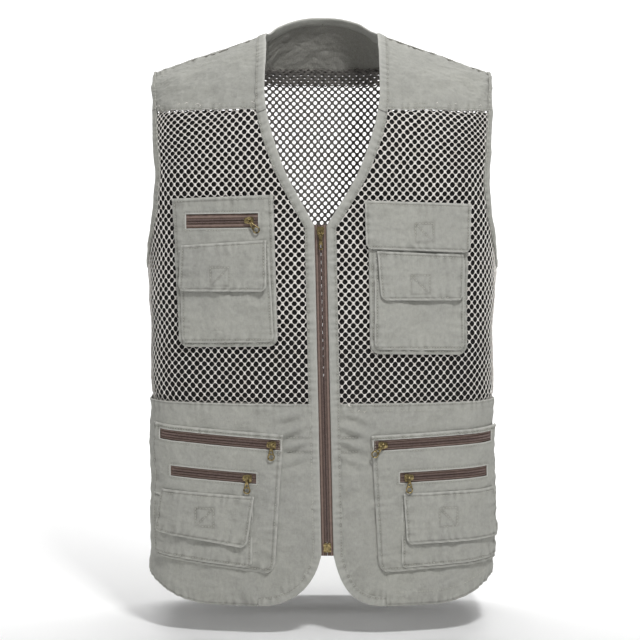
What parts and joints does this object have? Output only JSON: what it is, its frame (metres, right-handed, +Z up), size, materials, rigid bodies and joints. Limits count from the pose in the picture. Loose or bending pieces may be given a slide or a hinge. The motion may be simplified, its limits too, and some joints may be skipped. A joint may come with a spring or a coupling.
{
  "type": "fishing vest",
  "caption": "Sleeveless fishing vest with mesh upper body, solid yokes and lower panels, separating front zip, and chest and cargo pockets with zips and hook-and-loop flaps.",
  "frame": {"origin": "midway between the two side neck points, where the vest hangs on the shoulders", "axes": "+Z up, -Y the vest's front, +X the wearer's left"},
  "size_m": [0.4006, 0.2625, 0.676],
  "materials": {
    "khaki_cotton": "matte washed cotton twill",
    "binding": "matte folded cotton tape",
    "knitted_mesh": "matte warp-knitted net",
    "dark_lining": "matte thin net",
    "brown_zip_tape": "woven tape with a coil",
    "antique_brass": "dull antique",
    "hook_and_loop": "matte hook tape"
  },
  "bodies": {
    "vest_back": {"armhole_binding_back_left": "binding", "armhole_binding_back_right": "binding", "back_lower_panel": "khaki_cotton", "back_mesh": "knitted_mesh", "back_yoke": "khaki_cotton", "front_yoke_left": "khaki_cotton", "front_yoke_right": "khaki_cotton", "neck_binding": "binding"},
    "front_left": {"armhole_binding_front_left": "binding", "cargo_outer_pocket_left": "khaki_cotton", "cargo_pocket_left": "khaki_cotton", "chest_outer_pocket_left": "khaki_cotton", "chest_pocket_left": "khaki_cotton", "front_binding_left": "binding", "front_lining_left": "dark_lining", "front_lower_panel_left": "khaki_cotton", "front_mesh_left": "knitted_mesh", "long_zip_left_tape": "brown_zip_tape", "main_zip_tape_left": "brown_zip_tape", "short_zip_left_tape": "brown_zip_tape", "zip_retainer_box": "antique_brass"},
    "front_right": {"armhole_binding_front_right": "binding", "cargo_outer_pocket_right": "khaki_cotton", "cargo_pocket_right": "khaki_cotton", "chest_outer_pocket_right": "khaki_cotton", "chest_pocket_right": "khaki_cotton", "chest_zip_tape": "brown_zip_tape", "front_binding_right": "binding", "front_lining_right": "dark_lining", "front_lower_panel_right": "khaki_cotton", "front_mesh_right": "knitted_mesh", "long_zip_right_tape": "brown_zip_tape", "main_zip_tape_right": "brown_zip_tape", "short_zip_right_tape": "brown_zip_tape", "zip_insertion_pin": "antique_brass"},
    "cargo_flap_left": {"cargo_flap_left": "khaki_cotton", "cargo_flap_left_hook_pad": "hook_and_loop"},
    "cargo_flap_right": {"cargo_flap_right": "khaki_cotton", "cargo_flap_right_hook_pad": "hook_and_loop"},
    "chest_flap_left_lower": {"chest_flap_left_lower": "khaki_cotton", "chest_flap_left_lower_hook_pad": "hook_and_loop"},
    "chest_flap_left_upper": {"chest_flap_left_upper": "khaki_cotton", "chest_flap_left_upper_hook_pad": "hook_and_loop"},
    "chest_flap_right": {"chest_flap_right": "khaki_cotton", "chest_flap_right_hook_pad": "hook_and_loop"},
    "chest_zip_pull": {"chest_zip_pull": "antique_brass"},
    "chest_zip_slider": {"chest_zip_slider": "antique_brass"},
    "long_zip_left_pull": {"long_zip_left_pull": "antique_brass"},
    "long_zip_left_slider": {"long_zip_left_slider": "antique_brass"},
    "long_zip_right_pull": {"long_zip_right_pull": "antique_brass"},
    "long_zip_right_slider": {"long_zip_right_slider": "antique_brass"},
    "main_zip_pull": {"main_zip_pull": "antique_brass"},
    "main_zip_slider": {"main_zip_slider": "antique_brass"},
    "short_zip_left_pull": {"short_zip_left_pull": "antique_brass"},
    "short_zip_left_slider": {"short_zip_left_slider": "antique_brass"},
    "short_zip_right_pull": {"short_zip_right_pull": "antique_brass"},
    "short_zip_right_slider": {"short_zip_right_slider": "antique_brass"}
  },
  "joints": [
    {"name": "front_left_swing", "type": "hinge", "parent": "vest_back", "child": "front_left", "pos_m": [0.198, 0, 0], "axis": [0, 0, 1], "range_deg": [0, 75]},
    {"name": "front_right_swing", "type": "hinge", "parent": "vest_back", "child": "front_right", "pos_m": [-0.198, 0, 0], "axis": [0, 0, -1], "range_deg": [0, 75]},
    {"name": "main_zip_slide", "type": "slide", "parent": "front_left", "child": "main_zip_slider", "axis": [0.0216, -0.0001, -0.9998], "range_m": [0, 0.338]},
    {"name": "main_zip_pull_lift", "type": "hinge", "parent": "main_zip_slider", "child": "main_zip_pull", "pos_m": [-0.00183, -0.132, -0.2305], "axis": [-0.9998, 0.0039, -0.0216], "range_deg": [0, 150]},
    {"name": "chest_zip_slide", "type": "hinge", "parent": "front_right", "child": "chest_zip_slider", "pos_m": [0, 0.3575, -0.21481], "axis": [0.0173, 0, -0.9999], "range_deg": [0, 7.44]},
    {"name": "chest_zip_pull_turn", "type": "hinge", "parent": "chest_zip_slider", "child": "chest_zip_pull", "pos_m": [-0.08165, -0.12859, -0.21617], "axis": [0.1657, 0.9862, 0], "range_deg": [-40, 120]},
    {"name": "long_zip_left_slide", "type": "hinge", "parent": "front_left", "child": "long_zip_left_slider", "pos_m": [0, 0.3575, -0.46966], "axis": [-0.0387, 0, 0.9993], "range_deg": [0, 10.37]},
    {"name": "long_zip_left_pull_turn", "type": "hinge", "parent": "long_zip_left_slider", "child": "long_zip_left_pull", "pos_m": [0.06829, -0.13065, -0.46712], "axis": [-0.1385, 0.9904, 0], "range_deg": [-125, 35]},
    {"name": "long_zip_right_slide", "type": "hinge", "parent": "front_right", "child": "long_zip_right_slider", "pos_m": [0, 0.3575, -0.46988], "axis": [-0.0641, 0, -0.9979], "range_deg": [0, 11.71]},
    {"name": "long_zip_right_pull_turn", "type": "hinge", "parent": "long_zip_right_slider", "child": "long_zip_right_pull", "pos_m": [-0.05685, -0.13211, -0.46637], "axis": [0.1153, 0.9933, 0], "range_deg": [-80, 80]},
    {"name": "short_zip_left_slide", "type": "hinge", "parent": "front_left", "child": "short_zip_left_slider", "pos_m": [0, 0.3575, -0.5068], "axis": [-0.0298, 0, 0.9996], "range_deg": [0, 6.9]},
    {"name": "short_zip_left_pull_turn", "type": "hinge", "parent": "short_zip_left_slider", "child": "short_zip_left_pull", "pos_m": [0.09774, -0.12561, -0.50401], "axis": [-0.1983, 0.9801, 0], "range_deg": [-80, 80]},
    {"name": "short_zip_right_slide", "type": "hinge", "parent": "front_right", "child": "short_zip_right_slider", "pos_m": [0, 0.3575, -0.50914], "axis": [-0.0581, 0, -0.9983], "range_deg": [0, 8.5]},
    {"name": "short_zip_right_pull_turn", "type": "hinge", "parent": "short_zip_right_slider", "child": "short_zip_right_pull", "pos_m": [-0.08418, -0.12816, -0.50443], "axis": [0.1708, 0.9853, 0], "range_deg": [-80, 80]},
    {"name": "cargo_flap_left_lift", "type": "hinge", "parent": "front_left", "child": "cargo_flap_left", "pos_m": [0.14724, -0.11216, -0.52115], "axis": [-0.9541, -0.2991, -0.0129], "range_deg": [0, 110]},
    {"name": "cargo_flap_right_lift", "type": "hinge", "parent": "front_right", "child": "cargo_flap_right", "pos_m": [-0.12999, -0.11722, -0.52265], "axis": [-0.9637, 0.2639, 0.0406], "range_deg": [0, 110]},
    {"name": "chest_flap_right_lift", "type": "hinge", "parent": "front_right", "child": "chest_flap_right", "pos_m": [-0.11066, -0.1221, -0.24105], "axis": [-0.9725, 0.2244, -0.0617], "range_deg": [0, 110]},
    {"name": "chest_flap_left_upper_lift", "type": "hinge", "parent": "front_left", "child": "chest_flap_left_upper", "pos_m": [0.10725, -0.11918, -0.1958], "axis": [-0.9751, -0.2194, 0.031], "range_deg": [0, 110]},
    {"name": "chest_flap_left_lower_lift", "type": "hinge", "parent": "front_left", "child": "chest_flap_left_lower", "pos_m": [0.11043, -0.12215, -0.25235], "axis": [-0.9735, -0.2241, 0.0445], "range_deg": [0, 85]}
  ]
}
